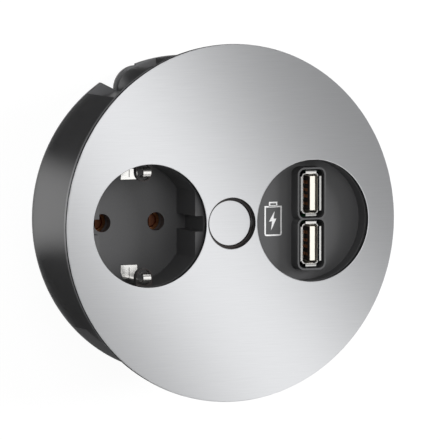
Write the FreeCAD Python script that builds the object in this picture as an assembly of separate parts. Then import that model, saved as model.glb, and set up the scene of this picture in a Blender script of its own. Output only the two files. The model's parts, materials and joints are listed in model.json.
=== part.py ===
import FreeCAD, Part
import math
import os

# In-desk power socket with a turning cover, in millimetres.
# The origin is on the axis in the plane of the desk top, +Z is out of the desk,
# X runs through the two outlets (socket at -X, charger at +X).

# Clearances
running_gap = 0.3       # between faces that move past each other
shaft_gap = 0.05        # radial gap of a shaft in its bore
seat_gap = 0.1          # radial gap of a piece that drops into a hole
hair = 0.05             # between fixed pieces that almost touch

# Cover
cover_thick = 1.1
cover_chamfer = 0.2
cover_overhang = 0.2    # of the cover past the flange below it
carrier_thick = 1.1
outlet_offset = 28.8    # from the axis to the middle of each outlet
outlet_radius = 19.8
carrier_setback = 0.3   # the carrier's holes are this much wider than the plate's
turn_range = 90.0       # degrees from open to closed

# Deck, flange and collar
deck_top = 0.4
deck_thick = 2.0
flange_width = 4.4      # of the flange past the collar
rim_wall = 1.5
collar_depth = 6.0
collar_step = 1.0       # of the collar past the skin below it

# Housing below the desk
housing_depth = 40.0
shell_radius = 50.0
skin_thick = 2.4        # of the outer skin and the rear cover, past the shell
shell_wall = 2.0
rear_thick = 1.6
skin_sectors = [(68.0, 100.0), (129.4, 223.0)]   # degrees, each also half a turn round
notch_angle = 122.9     # degrees, where the rear cover's edge turns in beside the claw
ledge_angle = 107.9     # degrees, where it comes out again
boss_ring_radius = 44.0
boss_radius = 3.2
boss_angles = [38.0, 142.0, 218.0, 322.0]
boss_top = -6.0
rear_screw_length = 12.0

# Small screws: of the rear cover and the cord clamp, and of the modules
small_screw_radius = 1.25
small_head_radius = 2.1
small_head_thick = 1.5
module_screw_radius = 1.0
module_head_radius = 1.7
module_head_thick = 1.3
recess_reach = 0.7      # of the head's radius
recess_half = 0.2

# Button
button_hole_radius = 8.3
hub_radius = 8.1
hub_wall = 0.55
button_side_gap = 0.15
hub_setback = 0.55       # the hub's top below the carrier's top
button_recess = 2.0
button_travel = 0.8
cap_thick = 0.6
guide_radius = 5.0
guide_length = 2.3
cup_wall = 1.75
cup_floor = -8.0
cup_floor_thick = 1.5
stem_radius = 2.2
stem_end = -12.0
groove_depth = 0.4
clip_radius = 4.2
clip_thick = 0.8
clip_mouth = 2.6
spring_wire = 0.6       # diameter
spring_turns = 5
release_bar_width = 6.4
release_bar_thick = 1.0
release_bar_half = 32.5

# Snap hooks of the carrier and latch springs under the deck
hook_angle = 135.0      # degrees, open position
hook_half = 5.0         # degrees
hook_inner = 37.9
hook_wall = 1.2
hook_barb = 1.6
hook_barb_height = 1.3
hook_flex = 1.0
stop_gap = 0.5          # degrees
latch_angle = 45.0
latch_ring_radius = 34.3
latch_width = 2.4
latch_thick = 0.4
latch_nose_radius = 1.0
latch_nose_proud = 0.2
latch_notch_depth = 0.5
latch_anchor = (-7.0, 33.0)
latch_boss_radius = 2.4
rivet_radius = 0.9
rivet_head_radius = 1.7
rivet_head_thick = 0.5
rivet_grip = 1.2

# Clamps in open pockets of the housing, one at tower_angle and one half a turn round
tower_ring_radius = 44.6
tower_angle = 111.0
tower_wall = 1.0
arm_rest_angle = 195.0  # degrees, direction of the folded claw
arm_length = 15.2
arm_half = 1.5
arm_height = 12.4
arm_room = 0.7
pocket_wall = 1.5
clamp_screw_radius = 2.0
clamp_head_radius = 3.0
clamp_head_thick = 1.6
clamp_boss_thick = 2.4
ring_radius = 3.6
ring_thick = 0.8
ring_mouth = 2.0
nut_radius = 3.25
nut_flange_radius = 4.6
nut_flange_thick = 1.2
claw_hub_radius = 7.3
claw_ledge = 0.4        # of the rear cover round the claw's hub
claw_floor_gap = 0.5
claw_teeth = 4
tooth_depth = 0.5

# Modules in the two outlets
insert_wall = 1.5
shoulder_radius = 23.0
shoulder_thick = 2.0
shoulder_half = 12.0
module_wall = 1.5
module_clear = 0.3      # base and charger case inside the inserts' radius
floor_thick = 2.5

# Socket well
well_depth = 17.5
flat_offset = 16.8
groove_half = 2.5
pin_spacing = 19.0
pin_hole_radius = 2.95
guard_radius = 2.9
guard_wall = 0.4
guard_top = 5.3         # below the cover's top
guard_thick = 1.8
contact_outer = 3.4
contact_inner = 2.45
contact_drop = 5.4      # from the well's floor down to the contact
contact_length = 13.0
contact_slit = 0.8
slit_foot = 2.0         # the sleeve is whole for this height at its foot
tail_drop = 1.0         # the tail starts this far below the sleeve
tail_thick = 0.8
tail_height = 4.0
tail_proud = 1.5        # stands out of the base for its wire
chamber_gap = 0.2
base_screw_place = (18.25, 5.6)
base_screw_depth = 4.4      # into the insert, up from the well's floor

# Earth bracket
strip_half = 2.9
strip_thick = 0.7
pad_inner = 13.9
pad_outer = 18.4
pad_tip_half = 2.15
pad_slit = 0.4
blade_half = 1.35
blade_thick = 0.6
head_radius = 1.65
head_drop = 2.5         # from the cover's top to the head's top
head_tail = 2.5
blade_bend = 4.0        # the blade leans out over this height below the head
head_proud = 0.3        # the rolled head stands this far outside the blade
tab_half = 2.5
tab_length = 12.0

# Charger insert and ports
usb_floor_depth = 7.5
frame_offset = 0.7
frame_width = 10.2
frame_length = 17.2
frame_corner = 2.5
frame_rim = 0.7
frame_height = 5.0
port_pitch = 16.4
port_shift = 0.4         # of both ports past the middle, along Y
port_width = 5.7
port_length = 13.1
port_corner = 0.9
port_sheet = 0.3
port_front = 0.7        # below the frame's front
lip_flare = 0.8
lip_height = 0.8
lip_long = 11.2
lip_short = 3.8
tongue_width = 1.84
tongue_length = 11.1
tongue_setback = 0.9
tongue_base = 2.0
contact_rows = (-3.5, -1.0, 1.0, 3.5)
contact_width = 1.0
contact_sheet = 0.2
board_drop = 12.6       # from the charger floor's front to the board
board_thick = 1.6
board_width = 20.0
board_length = 31.0
post_offset = 15.2
post_radius = 2.4
ledge_half = 6.0
ledge_reach = 3.6
transformer_size = (12.0, 11.0, 11.0)
transformer_place = (4.6, -5.6)
core_leg = 2.0
core_depth = 6.0
capacitor_sizes = [(5.5, 10.0, 4.0, 12.5), (-4.0, 10.5, 3.15, 11.0)]   # x, y, radius, length
can_neck = 1.0
can_neck_depth = 0.2
connector_size = (5.2, 10.0, 8.0)
connector_place = (-6.1, -8.4)
connector_pitch = 4.0
window_y = (-16.5, -3.5)
window_height = 9.5

# Mains terminals, cord inlet and clamp
block_half = 5.5
block_length = 22.0
block_setback = 5.0     # from the bridge's middle to the block's end
block_height = 12.4
pole_pitch = 7.0
pole_drop = 6.4         # from the rear plate's inside up to the pole's axis
pole_radius = 2.6
pole_bore = 1.6
pole_screw_radius = 1.5
pole_slot = 0.4
pole_slot_depth = 0.8
pole_setback = 1.0      # the brass and its screws lie this far inside the block
cord_height = 10.4      # from the rear plate's inside up to the cord's axis
cord_radius = 4.25
bush_gap = 0.05
bush_wall = 1.1
bush_flange = 1.2
bush_flange_thick = 1.25
bush_length = 7.4
clamp_end_inset = 7.1  # from the tower's axis to the bridge's end, along X
clamp_inset = 7.64      # from the tower's axis to the bridge's middle, along Y
clamp_screw_inset = 2.1     # from the bridge's end
clamp_half_width = 2.5
clamp_thick = 2.5
saddle_half = 4.0
wire_radius = 1.2
line_lead = 1.6         # straight out of the contact's tail
neutral_lead = 1.8
line_route = [(-30.0, -23.2), (-18.0, -27.0)]
line_end = 4.0          # straight into the terminal block
neutral_route = (-12.3, -19.0)
neutral_end = 3.5
earth_lug = 2.0         # up from the tab's end
earth_route = [(-28.8, -21.5), (-20.0, -24.0, -29.5), (-11.0, -22.5)]
earth_end = 2.8
charger_end = 3.5
charger_line_route = (11.0, -17.0, -25.5)
charger_neutral_route = (9.6, -12.5, -25.5)
charger_line_side = 14.5
charger_neutral_side = 13.0

# Heights and radii that follow from the sizes above
carrier_z0 = deck_top + running_gap
carrier_z1 = carrier_z0 + carrier_thick
cover_top = carrier_z1 + cover_thick
housing_radius = shell_radius + skin_thick
collar_radius = housing_radius + collar_step
flange_radius = collar_radius + flange_width
cover_radius = flange_radius + cover_overhang
rim_top = carrier_z1 - running_gap
deck_under = deck_top - deck_thick
rear_z0 = -housing_depth
rear_z1 = rear_z0 + rear_thick
collar_z = -collar_depth
insert_radius = outlet_radius + insert_wall
module_hole = insert_radius + seat_gap
module_radius = insert_radius - module_clear
carrier_radius = flange_radius - rim_wall - running_gap
cap_top = cover_top - button_recess
cap_under = cap_top - cap_thick
cap_room = cap_under - button_travel - running_gap
button_radius = hub_radius - hub_wall - button_side_gap
guide_under = cap_under - guide_length
cup_radius = guide_radius + shaft_gap + cup_wall
cup_under = cup_floor - cup_floor_thick
bar_under = guide_under - release_bar_thick
latch_top = bar_under - seat_gap
hook_outer = hook_inner + hook_wall
hook_under = deck_under - running_gap - hook_barb_height
tower_x = tower_ring_radius * math.cos(math.radians(tower_angle))
tower_y = tower_ring_radius * math.sin(math.radians(tower_angle))
tower_bore = claw_hub_radius + running_gap
tower_outer = tower_bore + tower_wall
ledge_radius = claw_hub_radius + claw_ledge
clamp_y = clamp_inset - tower_y
clamp_half_length = -tower_x - clamp_end_inset
clamp_post_offset = clamp_half_length - clamp_screw_inset
block_y = (clamp_y + block_setback, clamp_y + block_setback + block_length)
pocket_top = collar_z - hair * 4
nut_under = rear_z1 + claw_floor_gap
arm_under = nut_under + nut_flange_thick
clamp_boss_under = deck_under - clamp_boss_thick
head_under = deck_top - seat_gap - clamp_head_thick
well_floor = cover_top - well_depth
well_under = well_floor - floor_thick
usb_floor = cover_top - usb_floor_depth
usb_under = usb_floor - floor_thick
frame_top = usb_floor + frame_height
port_top = frame_top - port_front
board_z1 = usb_floor - board_drop + board_thick
board_z0 = board_z1 - board_thick
contact_z1 = well_floor - contact_drop
contact_z0 = contact_z1 - contact_length
tail_z0 = contact_z0 - tail_drop
base_screw_top = well_floor + base_screw_depth
pole_z = rear_z1 + pole_drop
cord_z = rear_z1 + cord_height
socket_x = -outlet_offset
usb_x = outlet_offset


def cyl(radius, z0, z1, x=0.0, y=0.0):
    return Part.makeCylinder(radius, z1 - z0, FreeCAD.Vector(x, y, z0))


def tube(outer, inner, z0, z1, x=0.0, y=0.0):
    return cyl(outer, z0, z1, x, y).cut(cyl(inner, z0 - 1.0, z1 + 1.0, x, y))


def along_x(radius, x0, x1, y, z):
    return Part.makeCylinder(radius, x1 - x0, FreeCAD.Vector(x0, y, z), FreeCAD.Vector(1, 0, 0))


def along_y(radius, y0, y1, x, z):
    return Part.makeCylinder(radius, y1 - y0, FreeCAD.Vector(x, y0, z), FreeCAD.Vector(0, 1, 0))


def block(x0, x1, y0, y1, z0, z1):
    return Part.makeBox(x1 - x0, y1 - y0, z1 - z0, FreeCAD.Vector(x0, y0, z0))


def prism(points, z0, z1):
    corners = [FreeCAD.Vector(x, y, z0) for x, y in points]
    face = Part.Face(Part.makePolygon(corners + [corners[0]]))
    return face.extrude(FreeCAD.Vector(0, 0, z1 - z0))


def polar(radius, degrees):
    angle = math.radians(degrees)
    return radius * math.cos(angle), radius * math.sin(angle)


def arc_block(inner, outer, start, end, z0, z1):
    """Part of a ring between two angles in degrees."""
    middle = 0.5 * (start + end)
    outside = [FreeCAD.Vector(*polar(outer, a), z0) for a in (start, middle, end)]
    inside = [FreeCAD.Vector(*polar(inner, a), z0) for a in (end, middle, start)]
    edges = [
        Part.Arc(*outside).toShape(),
        Part.LineSegment(outside[2], inside[0]).toShape(),
        Part.Arc(*inside).toShape(),
        Part.LineSegment(inside[2], outside[0]).toShape(),
    ]
    return Part.Face(Part.Wire(edges)).extrude(FreeCAD.Vector(0, 0, z1 - z0))


def rounded(width, length, corner, z0, z1, x=0.0, y=0.0):
    """Upright bar with rounded corners."""
    bar = block(x - width / 2, x + width / 2, y - length / 2, y + length / 2, z0, z1)
    upright = [e for e in bar.Edges if abs(e.Vertexes[0].Z - e.Vertexes[1].Z) > 1e-6]
    return bar.makeFillet(corner, upright)


def moved(shape, x, y, z=0.0):
    copy = shape.copy()
    copy.translate(FreeCAD.Vector(x, y, z))
    return copy


def turned(shape, degrees, x=0.0, y=0.0):
    copy = shape.copy()
    copy.rotate(FreeCAD.Vector(x, y, 0), FreeCAD.Vector(0, 0, 1), degrees)
    return copy


def opposite(shape):
    return turned(shape, 180.0)


def both_ways(shape):
    return [shape, opposite(shape)]


def in_arm_frame(shape):
    """Places a shape drawn with the folded claw along +X at the upper tower."""
    return moved(turned(shape, arm_rest_angle), tower_x, tower_y)


def fused(shapes):
    result = shapes[0].multiFuse(shapes[1:])
    return result.removeSplitter()


def cut_all(shape, tools):
    for tool in tools:
        shape = shape.cut(tool)
    return shape


def chamfered(shape, size, height, radius):
    """Chamfers the circular edges of one radius at one height."""
    edges = []
    for edge in shape.Edges:
        curve = edge.Curve
        if isinstance(curve, Part.Circle) and abs(curve.Radius - radius) < 1e-4:
            if abs(edge.BoundBox.ZMin - height) < 1e-4 and abs(edge.BoundBox.ZMax - height) < 1e-4:
                edges.append(edge)
    return shape.makeChamfer(size, edges)


# Cover

def outlet_holes(radius, z0, z1):
    return [cyl(radius, z0, z1, socket_x), cyl(radius, z0, z1, usb_x)]


def cover_plate():
    plate = cyl(cover_radius, carrier_z1, cover_top)
    plate = cut_all(plate, outlet_holes(outlet_radius, carrier_z1 - 1, cover_top + 1))
    plate = plate.cut(cyl(button_hole_radius, carrier_z1 - 1, cover_top + 1))
    plate = chamfered(plate, cover_chamfer, cover_top, cover_radius)
    plate = chamfered(plate, cover_chamfer / 2, cover_top, outlet_radius)
    return chamfered(plate, cover_chamfer / 2, cover_top, button_hole_radius)


def hook():
    start = hook_angle - hook_half
    end = hook_angle + hook_half
    leg = arc_block(hook_inner, hook_outer, start, end, hook_under, carrier_z0 + hair)
    barb_top = hook_under + hook_barb_height
    barb = arc_block(hook_outer - hair, hook_outer + hook_barb, start, end, hook_under, barb_top)
    return leg.fuse(barb)


def cover_carrier():
    plate = cyl(carrier_radius, carrier_z0, carrier_z1)
    plate = fused([plate] + both_ways(hook()))
    plate = cut_all(plate, outlet_holes(outlet_radius + carrier_setback, carrier_z0 - 1, carrier_z1 + 1))
    plate = plate.cut(cyl(hub_radius + shaft_gap, carrier_z0 - 1, carrier_z1 + 1))
    for angle in (latch_angle, latch_angle + turn_range):
        x, y = polar(latch_ring_radius, angle)
        notch = cyl(latch_nose_radius + running_gap, carrier_z0 - 1, carrier_z0 + latch_notch_depth, x, y)
        plate = cut_all(plate, both_ways(notch))
    return plate


# Housing

def hook_slot():
    start = hook_angle - turn_range - hook_half - stop_gap
    end = hook_angle + hook_half + stop_gap
    inner = hook_inner - hook_flex
    return arc_block(inner, hook_outer + running_gap, start, end, deck_under - 1, deck_top + 1)


def hook_channel():
    """Room under the deck for the hooks' barbs."""
    outer = hook_outer + hook_barb + 2 * running_gap
    under = hook_under - 2 * running_gap
    return tube(outer, hook_inner - hook_flex, under, deck_under)


def skin():
    pieces = []
    for start, end in skin_sectors:
        sector = arc_block(shell_radius - hair, housing_radius, start, end, rear_z1, collar_z + hair)
        pieces += both_ways(sector)
    return pieces


def tower_blank():
    tower = cyl(tower_outer, rear_z1, deck_under + hair, tower_x, tower_y)
    inner = arm_half + arm_room + pocket_wall
    wall = block(0, arm_length + arm_room + pocket_wall, -2 * tower_outer, inner, rear_z1, deck_under + hair)
    wall = in_arm_frame(wall)
    round_wall = cyl(arm_length + arm_room + pocket_wall, rear_z1, deck_under + hair, tower_x, tower_y)
    inside = cyl(shell_radius, rear_z1, deck_under + hair)
    return [tower.common(inside), wall.common(round_wall).common(inside)]


def tower_cuts():
    reach = arm_length + arm_room
    pocket = in_arm_frame(block(0, reach, -reach, arm_half + arm_room, rear_z1 - 1, pocket_top))
    pocket = pocket.common(cyl(reach, rear_z1 - 1, pocket_top, tower_x, tower_y))
    bay = cyl(tower_bore, rear_z1 - 1, pocket_top, tower_x, tower_y)
    bay = bay.fuse(cyl(ring_radius + arm_room, pocket_top - hair, clamp_boss_under, tower_x, tower_y))
    hole = cyl(clamp_screw_radius + shaft_gap, clamp_boss_under - 1, deck_top + 1, tower_x, tower_y)
    seat = cyl(clamp_head_radius + seat_gap, head_under, deck_top + 1, tower_x, tower_y)
    return [pocket, bay, hole, seat]


def latch_place():
    return polar(latch_ring_radius, latch_angle)


def hub():
    collar = cyl(hub_radius, deck_top - hair, carrier_z1 - hub_setback)
    cup = cyl(cup_radius, cup_under, deck_under + hair)
    return [collar, cup]


def hub_cuts():
    bore = cyl(guide_radius + shaft_gap, cup_floor, deck_top + 1)
    seat = cyl(hub_radius - hub_wall, cap_room, cover_top)
    stem_hole = cyl(stem_radius + shaft_gap, cup_under - 1, cup_floor + 1)
    half = release_bar_width / 2 + running_gap
    slot_under = bar_under - button_travel - running_gap
    slot = block(-half, half, -cup_radius - 1, cup_radius + 1, slot_under, deck_under)
    return [bore, seat, stem_hole, slot]


def bush_hole():
    radius = cord_radius + bush_wall + bush_gap
    hole = along_y(radius, -shell_radius - 1, shell_wall - shell_radius + 1, 0, cord_z)
    return hole.fuse(along_y(radius + bush_flange + hair, -housing_radius - 1, -shell_radius, 0, cord_z))


def rear_bosses():
    bosses = []
    for angle in boss_angles:
        x, y = polar(boss_ring_radius, angle)
        bosses.append(cyl(boss_radius, rear_z1, boss_top, x, y))
        half = boss_radius / 2
        rib = block(boss_ring_radius, shell_radius - hair, -half, half, rear_z1, boss_top)
        bosses.append(turned(rib, angle))
    return bosses


def housing_frame():
    shell = tube(shell_radius, shell_radius - shell_wall, rear_z1, deck_under + hair)
    collar = tube(collar_radius, shell_radius - shell_wall, collar_z, deck_under + hair)
    deck = cyl(collar_radius, deck_under, deck_top)
    flange = cyl(flange_radius, 0, deck_top)
    rim = tube(flange_radius, flange_radius - rim_wall, 0, rim_top)
    x, y = latch_anchor
    latch_boss = cyl(latch_boss_radius, latch_top, deck_under + hair, x, y)
    solids = [shell, collar, deck, flange, rim]
    solids += hub() + skin() + rear_bosses() + both_ways(latch_boss)
    for piece in tower_blank():
        solids += both_ways(piece)
    frame = fused(solids)
    tools = [hook_channel()] + outlet_holes(module_hole, rear_z1 - 1, deck_top + 1)
    tools += hub_cuts() + [bush_hole()] + both_ways(hook_slot())
    for tool in tower_cuts():
        tools += both_ways(tool)
    nose_x, nose_y = latch_place()
    tools += both_ways(cyl(latch_nose_radius + running_gap, deck_under - 1, deck_top + 1, nose_x, nose_y))
    rivet_top = latch_top + rivet_grip
    tools += both_ways(cyl(rivet_radius + shaft_gap, latch_top - 1, rivet_top, x, y))
    for angle in boss_angles:
        x, y = polar(boss_ring_radius, angle)
        tools.append(cyl(small_screw_radius + shaft_gap, rear_z1 - 1, rear_z0 + rear_screw_length + 1, x, y))
    return cut_all(frame, tools)


def rear_cover():
    plate = cyl(housing_radius, rear_z0, rear_z1)
    beyond = 2 * housing_radius
    notch_points = [polar(beyond, notch_angle), polar(housing_radius, notch_angle)]
    notch_points.append((tower_x - ledge_radius, tower_y))
    notch_points += [(tower_x, tower_y), polar(housing_radius, ledge_angle), polar(beyond, ledge_angle)]
    notch = prism(notch_points, rear_z0 - 1, rear_z1 + 1)
    plate = cut_all(plate, both_ways(notch))
    near = clamp_y - clamp_half_width
    far = clamp_y + clamp_half_width
    saddle = block(-saddle_half, saddle_half, near, far, rear_z0 + hair, cord_z - cord_radius)
    extras = both_ways(cyl(ledge_radius, rear_z0, rear_z1, tower_x, tower_y))
    extras.append(saddle)
    for x in (-clamp_post_offset, clamp_post_offset):
        extras.append(cyl(clamp_half_width, rear_z0 + hair, cord_z + cord_radius, x, clamp_y))
    plate = fused([plate] + extras)
    tools = both_ways(cyl(clamp_screw_radius + shaft_gap, rear_z0 - 1, rear_z1 + 1, tower_x, tower_y))
    for x in (-clamp_post_offset, clamp_post_offset):
        top = cord_z + cord_radius
        tools.append(cyl(small_screw_radius + shaft_gap, top - cord_radius, top + 1, x, clamp_y))
    shank = small_screw_radius + shaft_gap
    for angle in boss_angles:
        x, y = polar(boss_ring_radius, angle)
        tools.append(countersunk(shank, small_head_radius + seat_gap, x, y, rear_thick + 1))
    return cut_all(plate, tools)


def countersunk(shank, head, x, y, length):
    """Countersunk screw shape with its head flush with the rear face."""
    depth = head - shank
    cone = Part.makeCone(head, shank, depth, FreeCAD.Vector(x, y, rear_z0))
    return cone.fuse(cyl(shank, rear_z0 + hair, rear_z0 + length, x, y))


def cross_recess(head, z0, z1):
    """Cross recess for a screw head of that radius, on the axis."""
    arm = recess_reach * head
    half = recess_half * head
    return block(-arm, arm, -half, half, z0, z1).fuse(block(-half, half, -arm, arm, z0, z1))


def rear_cover_screws():
    screws = []
    for angle in boss_angles:
        x, y = polar(boss_ring_radius, angle)
        recess = cross_recess(small_head_radius, rear_z0 - 1, rear_z0 + small_head_radius / 3)
        screw = countersunk(small_screw_radius, small_head_radius, x, y, rear_screw_length)
        screws.append(screw.cut(moved(recess, x, y)))
    return Part.makeCompound(screws)


# Button

def button_cap():
    cap = cyl(button_radius, cap_under, cap_top)
    return chamfered(cap, cover_chamfer, cap_top, button_radius)


def button_plunger():
    guide = cyl(guide_radius, guide_under, cap_under)
    stem = cyl(stem_radius, stem_end, guide_under + hair)
    groove_top = cup_under - shaft_gap + hair
    groove_under = groove_top - clip_thick - 2 * hair
    groove = tube(stem_radius + 1, stem_radius - groove_depth, groove_under, groove_top)
    plunger = guide.fuse(stem).cut(groove)
    return plunger.removeSplitter()


def button_clip():
    top = cup_under - shaft_gap
    clip = tube(clip_radius, stem_radius - groove_depth + hair, top - clip_thick, top)
    return clip.cut(block(-clip_mouth / 2, clip_mouth / 2, 0, clip_radius + 1, top - clip_thick - 1, top + 1))


def button_spring():
    wire = spring_wire / 2
    radius = release_bar_width / 2 - wire - hair
    z0 = cup_floor + wire + hair
    z1 = bar_under - wire - hair
    helix = Part.makeHelix((z1 - z0) / spring_turns, z1 - z0, radius)
    start = helix.Edges[0].firstVertex().Point
    ring = Part.Wire(Part.makeCircle(wire, start, FreeCAD.Vector(0, 1, 0)))
    coil = Part.Wire(helix.Edges).makePipeShell([ring], True, True)
    return moved(coil, 0, 0, z0)


def release_bar():
    half = release_bar_width / 2
    bar = block(-half, half, -release_bar_half, release_bar_half, bar_under, guide_under)
    return bar.cut(cyl(stem_radius + shaft_gap, bar_under - 1, guide_under + 1))


def latch_spring_upper():
    nose_x, nose_y = latch_place()
    x, y = latch_anchor
    length = math.hypot(nose_x - x, nose_y - y)
    half = latch_width / 2
    under = latch_top - latch_thick
    leaf = block(0, length, -half, half, under, latch_top)
    leaf = fused([leaf, cyl(half, under, latch_top, length), cyl(rivet_head_radius, under, latch_top)])
    leaf = leaf.cut(cyl(rivet_radius + shaft_gap, latch_top - 1, latch_top + 1))
    direction = math.degrees(math.atan2(nose_y - y, nose_x - x))
    leaf = moved(turned(leaf, direction), x, y)
    nose_top = carrier_z0 + latch_nose_proud
    nose = cyl(latch_nose_radius, latch_top - hair, nose_top, nose_x, nose_y)
    nose = chamfered(nose, latch_nose_proud, nose_top, latch_nose_radius)
    return fused([leaf, nose])


def latch_rivets():
    x, y = latch_anchor
    under = latch_top - latch_thick
    rivet = cyl(rivet_radius, under - hair, latch_top + rivet_grip - hair, x, y)
    head = cyl(rivet_head_radius, under - rivet_head_thick, under, x, y)
    return Part.makeCompound(both_ways(rivet.fuse(head)))


# Clamps

def clamp_screw_upper():
    top = deck_top - seat_gap
    shank = cyl(clamp_screw_radius, rear_z0 + seat_gap, head_under + hair, tower_x, tower_y)
    head = cyl(clamp_head_radius, head_under, top, tower_x, tower_y)
    recess = cross_recess(clamp_head_radius, top - clamp_head_thick / 2, top + 1)
    return shank.fuse(head).cut(moved(recess, tower_x, tower_y))


def screw_clip_upper():
    top = clamp_boss_under - shaft_gap
    clip = tube(ring_radius, clamp_screw_radius + hair, top - ring_thick, top, tower_x, tower_y)
    half = ring_mouth / 2
    mouth = block(0, ring_radius + 1, -half, half, top - ring_thick - 1, top + 1)
    return clip.cut(moved(mouth, tower_x, tower_y))


def claw_nut_upper():
    top = arm_under + arm_height
    barrel = cyl(nut_radius, nut_under, top, tower_x, tower_y)
    flange = cyl(nut_flange_radius, nut_under, arm_under, tower_x, tower_y)
    bore = cyl(clamp_screw_radius + shaft_gap, nut_under - 1, top + 1, tower_x, tower_y)
    return barrel.fuse(flange).cut(bore)


def claw_upper():
    z0 = arm_under + shaft_gap
    z1 = z0 + arm_height
    body = cyl(claw_hub_radius, z0, z1, tower_x, tower_y)
    arm = in_arm_frame(block(0, arm_length, -arm_half, arm_half, z0, z1))
    arm = arm.common(cyl(arm_length, z0 - 1, z1 + 1, tower_x, tower_y))
    claw = fused([body, arm])
    first = claw_hub_radius + 1
    pitch = (arm_length - first) / claw_teeth
    for index in range(claw_teeth):
        near = first + (index + 0.5) * pitch
        groove = block(near, near + pitch / 2, -2 * arm_half, 2 * arm_half, z1 - tooth_depth, z1 + 1)
        claw = claw.cut(in_arm_frame(groove))
    return claw.cut(cyl(nut_radius + shaft_gap, z0 - 1, z1 + 1, tower_x, tower_y))


# Socket

def insert_cup(floor, under):
    """Round cup that fills one outlet, drawn on the axis."""
    cup = cyl(insert_radius, under, deck_top)
    ring = cyl(shoulder_radius, deck_under - shoulder_thick, deck_under)
    reach = shoulder_radius
    shoulder = ring.common(block(-shoulder_half, shoulder_half, -reach, reach, -housing_depth, 0))
    return fused([cup, shoulder]).cut(cyl(outlet_radius, floor, deck_top + 1))


def pad_outline(grow):
    inner = pad_inner - grow
    outer = pad_outer + grow
    wide = strip_half + grow
    tip = pad_tip_half + grow
    bend = 0.5 * (inner + outer)
    return [(-wide, inner), (wide, inner), (wide, bend), (tip, outer), (-tip, outer), (-wide, bend)]


def socket_insert():
    cup = insert_cup(well_floor, well_under)
    solids = [cup]
    for side in (-1, 1):
        for half in (-1, 1):
            x = sorted((side * flat_offset, side * (outlet_radius + hair)))
            y = sorted((half * groove_half, half * outlet_radius))
            corner = block(x[0], x[1], y[0], y[1], well_floor - hair, deck_top)
            solids.append(corner.common(cyl(outlet_radius + hair, well_floor - 1, deck_top)))
    guard_y = outlet_radius - guard_radius
    guard_z1 = cover_top - guard_top
    guard_z0 = guard_z1 - guard_thick
    guard = cyl(guard_radius, guard_z0, guard_z1, 0, guard_y)
    backing = block(-guard_radius, guard_radius, guard_y, outlet_radius + hair, guard_z0, guard_z1)
    backing = backing.common(cyl(outlet_radius + hair, guard_z0, guard_z1))
    solids += both_ways(fused([guard, backing]))
    insert = fused(solids)
    tools = []
    for x in (-pin_spacing / 2, pin_spacing / 2):
        tools.append(cyl(pin_hole_radius, well_under - 1, well_floor + 1, x))
    tools += both_ways(prism(pad_outline(hair * 2), well_under - 1, well_floor + 1))
    room = blade_half + running_gap
    slot = (head_middle() - head_radius - running_gap, head_middle() + head_radius + running_gap)
    tools += both_ways(block(-room, room, slot[0], slot[1], guard_z0 - 1, guard_z1 + 1))
    tools += both_ways(cyl(guard_radius - guard_wall, guard_z0 - 1, guard_z1 + 1, 0, guard_y))
    x, y = base_screw_place
    tools += both_ways(cyl(module_screw_radius + shaft_gap, well_under - 1, base_screw_top + 1, x, y))
    return moved(cut_all(insert, tools), socket_x, 0)


def socket_base():
    base = cyl(module_radius, rear_z1, well_under)
    tools = []
    chamber = contact_outer + chamber_gap
    for x in (-pin_spacing / 2, pin_spacing / 2):
        tools.append(cyl(chamber, tail_z0 - 1, well_under + 1, x))
        half = tail_thick / 2 + chamber_gap
        tools.append(block(x - half, x + half, -module_radius - 1, 0, tail_z0 - chamber_gap, well_under + 1))
    groove = strip_half + chamber_gap
    groove_under = well_under - strip_thick - 2 * hair
    tools.append(block(-groove, groove, -pad_outer, pad_outer, groove_under, well_under + 1))
    tab_side = chamber_gap - pad_inner
    tools.append(block(-groove, groove, -module_radius - 1, tab_side, rear_z1 - 1, well_under + 1))
    x, y = base_screw_place
    tools += both_ways(cyl(module_screw_radius + shaft_gap, rear_z1 - 1, well_under + 1, x, y))
    seat_top = rear_z1 + module_head_thick + hair
    tools += both_ways(cyl(module_head_radius + seat_gap, rear_z1 - 1, seat_top, x, y))
    return moved(cut_all(base, tools), socket_x, 0)


def module_screws(x, y, top):
    """Two screws that hold a module together, with their heads at the rear."""
    z0 = rear_z1 + hair
    head = cyl(module_head_radius, z0, z0 + module_head_thick)
    shank = cyl(module_screw_radius, z0 + hair, top)
    screw = head.fuse(shank).cut(cross_recess(module_head_radius, z0 - 1, z0 + module_head_thick / 2))
    return Part.makeCompound(both_ways(moved(screw, x, y)))


def socket_base_screws():
    x, y = base_screw_place
    return moved(module_screws(x, y, base_screw_top), socket_x, 0)


def tail_reach():
    return math.sqrt(module_radius ** 2 - (pin_spacing / 2) ** 2) + tail_proud


def pin_contact(x):
    sleeve = tube(contact_outer, contact_inner, contact_z0, contact_z1, x)
    half = contact_slit / 2
    slit = block(x - half, x + half, 0, contact_outer + 1, contact_z0 + slit_foot, contact_z1 + 1)
    half = tail_thick / 2
    end = tail_reach()
    tail = block(x - half, x + half, -end, -contact_inner - hair, tail_z0, tail_z0 + tail_height)
    return moved(sleeve.cut(slit).fuse(tail).removeSplitter(), socket_x, 0)


def line_contact():
    return pin_contact(-pin_spacing / 2)


def neutral_contact():
    return pin_contact(pin_spacing / 2)


def head_middle():
    return pad_outer + head_proud - head_radius


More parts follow.
